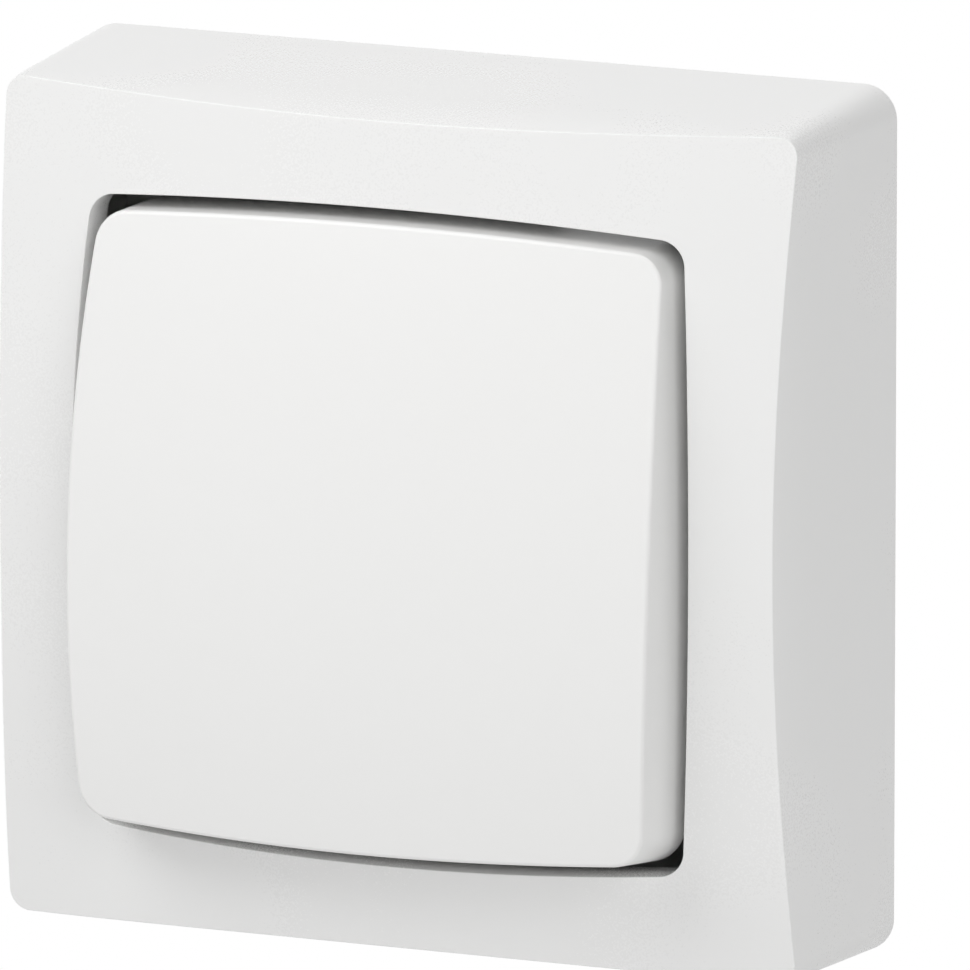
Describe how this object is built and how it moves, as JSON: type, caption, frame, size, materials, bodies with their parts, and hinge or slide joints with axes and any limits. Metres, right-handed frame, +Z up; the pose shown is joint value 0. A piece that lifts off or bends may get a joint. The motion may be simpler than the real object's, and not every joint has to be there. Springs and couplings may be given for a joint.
{
  "type": "surface mounted light switch",
  "caption": "Square surface mounted light switch: domed clip-on cover, wall base and a large rocker key over a two way contact mechanism.",
  "frame": {"origin": "centre of the back, in the wall plane, midway between the two fixing slots", "axes": "+Z up along the wall, +X to the right seen from the front, +Y into the wall, so the front faces -Y"},
  "size_m": [0.08, 0.0328, 0.08],
  "materials": {
    "cover_plastic": "satin moulded white",
    "key_plastic": "satin moulded white",
    "base_plastic": "fine matt white",
    "housing_plastic": "fine matt light grey",
    "inner_plastic": "plain moulded white",
    "spring_steel": "drawn wire",
    "screw_steel": "zinc plated",
    "contact_copper": "stamped copper",
    "strip_brass": "stamped brass",
    "contact_silver": "bright silver alloy"
  },
  "bodies": {
    "switch_base": {"base": "base_plastic", "cover_frame": "cover_plastic", "mechanism_housing": "housing_plastic", "mechanism_lid": "inner_plastic", "common_strip": "strip_brass", "fixed_strip_upper": "strip_brass", "fixed_strip_lower": "strip_brass", "fixed_contact_upper": "contact_silver", "fixed_contact_lower": "contact_silver", "terminal_block_common": "strip_brass", "terminal_block_upper": "strip_brass", "terminal_block_lower": "strip_brass", "terminal_screw_common": "screw_steel", "terminal_screw_upper": "screw_steel", "terminal_screw_lower": "screw_steel", "mechanism_screw_upper": "screw_steel", "mechanism_screw_lower": "screw_steel"},
    "rocker": {"rocker_key": "key_plastic", "rocker_carrier": "inner_plastic", "plunger_spring": "spring_steel"},
    "plunger": {"plunger": "housing_plastic"},
    "bridge": {"contact_bridge": "contact_copper", "bridge_contact_upper": "contact_silver", "bridge_contact_lower": "contact_silver"}
  },
  "joints": [
    {"name": "rocker_tilt", "type": "hinge", "parent": "switch_base", "child": "rocker", "pos_m": [0, -0.022, 0], "axis": [1, 0, 0], "range_deg": [0, 9.4]},
    {"name": "bridge_rock", "type": "hinge", "parent": "switch_base", "child": "bridge", "pos_m": [0, -0.00798, 0], "axis": [1, 0, 0], "range_deg": [-14, 0]},
    {"name": "plunger_slide", "type": "slide", "parent": "rocker", "child": "plunger", "axis": [0, -0.9966, 0.0819], "range_m": [0, 0.0008], "stiffness_N_per_m": 250, "springref_m": -0.002, "deforming": ["plunger_spring"]}
  ],
  "couplings": [
    {"joint": "bridge_rock", "follows": "rocker_tilt", "ratio": -1.4894}
  ]
}
